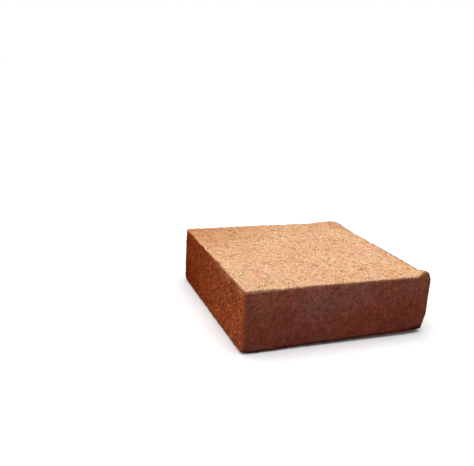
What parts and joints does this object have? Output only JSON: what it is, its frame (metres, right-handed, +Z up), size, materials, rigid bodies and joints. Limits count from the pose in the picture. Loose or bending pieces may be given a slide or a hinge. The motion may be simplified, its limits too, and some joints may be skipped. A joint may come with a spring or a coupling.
{
  "type": "compressed coconut coir block",
  "caption": "Square slab of pressed coconut coir pith and fibre with worn edges, soaked in water to make growing medium.",
  "frame": {"origin": "middle of the flat underside it rests on", "axes": "+Z up through the thickness; +X along the long narrow side that faces -Y; the nearest corner in the picture is the one at -X -Y"},
  "size_m": [0.3, 0.3, 0.0968],
  "materials": {
    "coir": "dry pressed pith and short fibre, fully matt, paler on the two large faces and burnished darker on the four mould sides"
  },
  "bodies": {
    "root": {"coir_block": "coir"}
  },
  "joints": []
}
